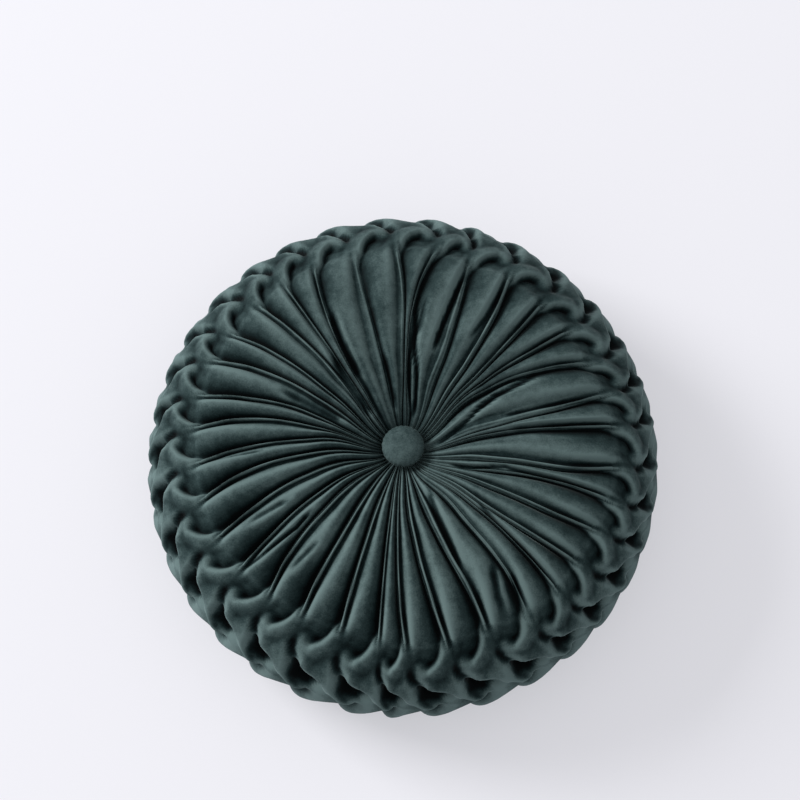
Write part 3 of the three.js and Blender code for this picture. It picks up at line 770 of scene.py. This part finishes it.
BUTTON_OUTLINE = [
    {"radius": 0.0, "height": 0.0},
    {"radius": 0.72, "height": 0.0},
    {"radius": 0.93, "height": 0.14},
    {"radius": 1.0, "height": 0.36},
    {"radius": 0.97, "height": 0.58},
    {"radius": 0.84, "height": 0.77},
    {"radius": 0.6, "height": 0.91},
    {"radius": 0.3, "height": 0.98},
    {"radius": 0.0, "height": 1.0},
]
BUTTON_LINES = 120
BUTTON_RINGS = 36
PUCKERS = 26
PUCKER_DEPTH = 0.22
PUCKER_FROM = 0.75  # share of the radius at which the puckers begin
PUCKER_SWAY = 1.3  # how unevenly they are spaced, and how often that changes round the edge
SWAYS = 3
BUTTON_CREST = 0.62  # the buttons' cloth is set a little lighter than the plain cloth


def covered_button(name, node, upside_down):
    """A button in the place of its solid, with puckered cloth round its edge."""
    low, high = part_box(node)
    ends = np.linspace(0, 1, len(BUTTON_OUTLINE))
    rings = np.linspace(0, 1, BUTTON_RINGS)
    across_r = smooth(ends, np.array([row["radius"] for row in BUTTON_OUTLINE]), rings)
    up_z = smooth(ends, np.array([row["height"] for row in BUTTON_OUTLINE]), rings)
    across_r[0] = across_r[-1] = 0
    shell = bmesh.new()
    chain = [shell.verts.new((max(r, 0) * BUTTON_RADIUS * MM, 0, z * BUTTON_HEIGHT * MM))
             for r, z in zip(across_r, up_z)]
    edges = [shell.edges.new(pair) for pair in zip(chain[:-1], chain[1:])]
    bmesh.ops.spin(shell, geom=chain + edges, cent=(0, 0, 0), axis=(0, 0, 1), dvec=(0, 0, 0),
                   angle=2 * math.pi, steps=BUTTON_LINES, use_merge=True)
    bmesh.ops.remove_doubles(shell, verts=shell.verts, dist=1e-7)
    bmesh.ops.recalc_face_normals(shell, faces=shell.faces)
    for vert in shell.verts:
        out = math.hypot(vert.co.x, vert.co.y) / (BUTTON_RADIUS * MM)
        turn = math.atan2(vert.co.y, vert.co.x)
        wave = math.sin(PUCKERS * turn + PUCKER_SWAY * math.sin(SWAYS * turn))
        wave = wave * max(out - PUCKER_FROM, 0) / (1 - PUCKER_FROM)
        shrink = 1 - wave * PUCKER_DEPTH / BUTTON_RADIUS
        vert.co.x *= shrink
        vert.co.y *= shrink
    if upside_down:
        bmesh.ops.rotate(shell, verts=shell.verts, cent=(0, 0, 0),
                         matrix=Matrix.Rotation(math.pi, 3, "X"))
    seat = Vector(((low.x + high.x) / 2, (low.y + high.y) / 2, high.z if upside_down else low.z))
    bmesh.ops.translate(shell, verts=shell.verts, vec=seat)
    mesh = bpy.data.meshes.new(name)
    shell.to_mesh(mesh)
    shell.free()
    mesh.polygons.foreach_set("use_smooth", [True] * len(mesh.polygons))
    crests = [BUTTON_CREST] * len(mesh.vertices)
    mesh.attributes.new("crest", "FLOAT", "POINT").data.foreach_set("value", crests)
    button = bpy.data.objects.new(name, mesh)
    bpy.context.collection.objects.link(button)
    print(name, "sits at", tuple(round(value, 4) for value in seat))
    return button


upper_button = covered_button("covered_button", "button_top", False)
lower_button = covered_button("covered_button_under", "button_under", True)

# %% [markdown]
# Shader maths reads best as an expression. This small class wraps the output of a node, so
# that 1 - mask * 0.5 adds the Math nodes by itself. Every other node comes from one method,
# which takes the node's type, its settings, and the values or links of its sockets.

# %% Helpers for materials


class Wire:
    """One output of a shader node, used like a number."""

    def __init__(self, paint, output):
        self.paint = paint
        self.output = output

    def maths(self, operation, first, second):
        """A Math node that works on two numbers or wires."""
        return self.paint.node("ShaderNodeMath", {"operation": operation}, {0: first, 1: second})

    def __add__(self, other):
        return self.maths("ADD", self, other)

    def __sub__(self, other):
        return self.maths("SUBTRACT", self, other)

    def __rsub__(self, other):
        return self.maths("SUBTRACT", other, self)

    def __mul__(self, other):
        return self.maths("MULTIPLY", self, other)

    __radd__ = __add__
    __rmul__ = __mul__


class Paint:
    """A node material under construction."""

    def __init__(self, name):
        self.material = bpy.data.materials.new(name)
        self.material.use_nodes = True
        self.tree = self.material.node_tree
        self.tree.nodes.clear()

    def node(self, kind, settings=None, sockets=None, output=0):
        """A node of this kind, with its settings made first and then its sockets."""
        made = self.tree.nodes.new(kind)
        for key, value in (settings or {}).items():
            if key == "stops":
                while len(made.color_ramp.elements) < len(value):
                    made.color_ramp.elements.new(1)
                for stop, (place, tone) in zip(made.color_ramp.elements, value):
                    stop.position = place
                    stop.color = (*tone, 1)
            else:
                setattr(made, key, value)
        for key, value in (sockets or {}).items():
            if isinstance(value, Wire):
                self.tree.links.new(value.output, made.inputs[key])
            else:
                made.inputs[key].default_value = value
        return Wire(self, made.outputs[output]) if made.outputs else None


# %% [markdown]
# Velvet is cut pile: it drinks in the light that falls straight on it, and glows softly where
# it is seen from the side. The Principled shader's sheen does that. The colour follows the
# attribute of painted shade and highlight, from a painted shade of nearly black in the hollows
# to a painted highlight of lighter green along the folds.
# The nap is stroked this way and that, so the colour drifts in cloudy patches and fine grain,
# and the pile itself is a fine bump.

# %% Velvet

# painted shadow in the deepest hollows, painted shade, the cloth's own green, and a painted
# highlight on the crests
PAINTED_SHADOW_GREEN = (0.0006, 0.002, 0.0024)
SHADED_GREEN = (0.005, 0.013, 0.014)
PLAIN_GREEN = (0.023, 0.041, 0.042)
PAINTED_HIGHLIGHT_GREEN = (0.103, 0.151, 0.150)
SHEEN_TINT = (0.62, 0.78, 0.78, 1)
NAP_DEPTH = 1.1  # how far the nap shifts the colour between the painted shade and the painted highlight
CLOUD_SCALE = 24.0  # patches of about 4 cm
GRAIN_SCALE = 190.0  # grain of about 5 mm
PILE_SCALE = 900.0  # tufts of about a millimetre
NAP_MIX = {"clouds": 0.5, "grain": 0.2, "pile": 0.3}  # these add up to 1
MEAN_NOISE = 0.5
GRAIN_RELIEF = 0.5  # how much the grain stands out in the bump, compared with the pile


def velvet():
    """Bottle green velvet with a cloudy nap, a fine pile, painted shade in the hollows and painted
    highlights along the folds.
    """
    paint = Paint("green_velvet")
    place = paint.node("ShaderNodeTexCoord", output="Object")
    crest = paint.node("ShaderNodeAttribute", {"attribute_name": "crest"}, output="Fac")
    clouds = paint.node("ShaderNodeTexNoise", sockets={
        "Vector": place, "Scale": CLOUD_SCALE, "Detail": 4.0, "Roughness": 0.6})
    grain = paint.node("ShaderNodeTexNoise", sockets={
        "Vector": place, "Scale": GRAIN_SCALE, "Detail": 2.0, "Roughness": 0.6})
    pile = paint.node("ShaderNodeTexNoise", sockets={
        "Vector": place, "Scale": PILE_SCALE, "Detail": 2.0, "Roughness": 0.7})
    nap = clouds * NAP_MIX["clouds"] + grain * NAP_MIX["grain"] + pile * NAP_MIX["pile"]
    nap = nap - MEAN_NOISE
    # the ramp paints shade into the hollows and a highlight along the folds, and the nap's random
    # tone moves it a little
    shade = paint.node("ShaderNodeValToRGB", {"stops": [
        (0.05, PAINTED_SHADOW_GREEN), (0.3, SHADED_GREEN), (0.52, PLAIN_GREEN), (0.9, PAINTED_HIGHLIGHT_GREEN)]},
        {0: crest + nap * NAP_DEPTH})
    bump = paint.node("ShaderNodeBump", sockets={
        "Height": pile + grain * GRAIN_RELIEF, "Strength": 0.35, "Distance": 0.0004})
    shader = paint.node("ShaderNodeBsdfPrincipled", sockets={
        "Base Color": shade, "Roughness": 0.85, "Normal": bump, "Specular IOR Level": 0.1,
        "Sheen Weight": 0.2, "Sheen Roughness": 0.3, "Sheen Tint": SHEEN_TINT})
    paint.node("ShaderNodeOutputMaterial", sockets={"Surface": shader})
    return paint.material


green_velvet = velvet()
for piece in (cover, upper_button, lower_button):
    piece.data.materials.append(green_velvet)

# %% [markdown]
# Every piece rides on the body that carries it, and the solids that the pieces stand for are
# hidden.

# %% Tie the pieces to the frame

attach(cover, "root")
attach(upper_button, "root")
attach(lower_button, "root")
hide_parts("cushion")
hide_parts("button_top")
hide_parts("button_under")

# %% [markdown]
# The floor is plain and pale. The light is a large soft window from the upper left and a
# bright even sky, as on a cloudy day. The floor glows a little by itself, like a lit table in
# a studio, so the shadow on it stays faint.

# %% Floor and light

FLOOR_HALF = 3.0
FLOOR_COLOUR = (0.43, 0.425, 0.45, 1)
GLOW_COLOUR = (0.95, 0.95, 1, 1)
GLOW_STRENGTH = 0.47
SKY_COLOUR = (0.97, 0.98, 1, 1)
SKY_STRENGTH = 0.59

floor_mesh = bpy.data.meshes.new("pale_floor")
floor_shape = bmesh.new()
bmesh.ops.create_grid(floor_shape, x_segments=1, y_segments=1, size=FLOOR_HALF)
floor_shape.to_mesh(floor_mesh)
floor_shape.free()
pale_floor = bpy.data.objects.new("pale_floor", floor_mesh)
bpy.context.collection.objects.link(pale_floor)
floor_paint = Paint("pale_floor")
floor_shader = floor_paint.node("ShaderNodeBsdfPrincipled", sockets={
    "Base Color": FLOOR_COLOUR, "Roughness": 0.9, "Specular IOR Level": 0.1,
    "Emission Color": GLOW_COLOUR, "Emission Strength": GLOW_STRENGTH})
floor_paint.node("ShaderNodeOutputMaterial", sockets={"Surface": floor_shader})
floor_mesh.materials.append(floor_paint.material)

sky = bpy.data.worlds.new("bright_sky")
sky.use_nodes = True
sky.node_tree.nodes["Background"].inputs["Color"].default_value = SKY_COLOUR
sky.node_tree.nodes["Background"].inputs["Strength"].default_value = SKY_STRENGTH
bpy.context.scene.world = sky
bpy.context.scene.view_settings.view_transform = "Standard"

# %% Window

WINDOW_PLACE = (-4.4, 2.2, 2.3)
WINDOW_SIZE = 2.4
WINDOW_POWER = 325
LIT_POINT = Vector((0, 0, 0.05))  # about the middle of the cushion


def soft_window(name, place, size, power):
    """A square area light that faces the cushion."""
    lamp = bpy.data.lights.new(name, "AREA")
    lamp.size = size
    lamp.energy = power
    window = bpy.data.objects.new(name, lamp)
    window.location = place
    facing = LIT_POINT - Vector(place)
    window.rotation_euler = facing.to_track_quat("-Z", "Y").to_euler()
    bpy.context.collection.objects.link(window)
    return window


window_light = soft_window("window_light", WINDOW_PLACE, WINDOW_SIZE, WINDOW_POWER)
print("window light at", WINDOW_PLACE, "with", window_light.data.energy, "W")

# %% [markdown]
# The camera looks down at the cushion from about 75 degrees above the floor, from about
# two metres off with a long lens.

# %% Camera

LOOK_DOWN = math.radians(74.8)
CAMERA_DISTANCE = 1.895  # metres to the cushion's middle, at the level of its notches
SENSOR_WIDTH = 36
PICTURE_WIDTH = 800
FOCAL_PIXELS = 2606  # focal length of the lens, in pixels of the picture
MIDDLE_RIGHT = 3.2  # how far the cushion's middle lies right of the picture's, in pixels
MIDDLE_BELOW = 45  # and how far below it

lens_data = bpy.data.cameras.new("studio_camera")
lens_data.sensor_width = SENSOR_WIDTH
lens_data.lens = FOCAL_PIXELS / PICTURE_WIDTH * lens_data.sensor_width
camera = bpy.data.objects.new("studio_camera", lens_data)
bpy.context.collection.objects.link(camera)
notch_level = Vector((0, 0, NOTCH_HEIGHT * MM))
back = Vector((0, -math.cos(LOOK_DOWN), math.sin(LOOK_DOWN)))
picture_up = Vector((0, math.sin(LOOK_DOWN), math.cos(LOOK_DOWN)))
metres_per_pixel = CAMERA_DISTANCE / FOCAL_PIXELS
aim = notch_level + picture_up * MIDDLE_BELOW * metres_per_pixel
aim += Vector((-MIDDLE_RIGHT * metres_per_pixel, 0, 0))
camera.location = notch_level + back * CAMERA_DISTANCE
camera.rotation_euler = (aim - camera.location).to_track_quat("-Z", "Y").to_euler()
bpy.context.scene.camera = camera
print("camera at", tuple(round(value, 3) for value in camera.location))
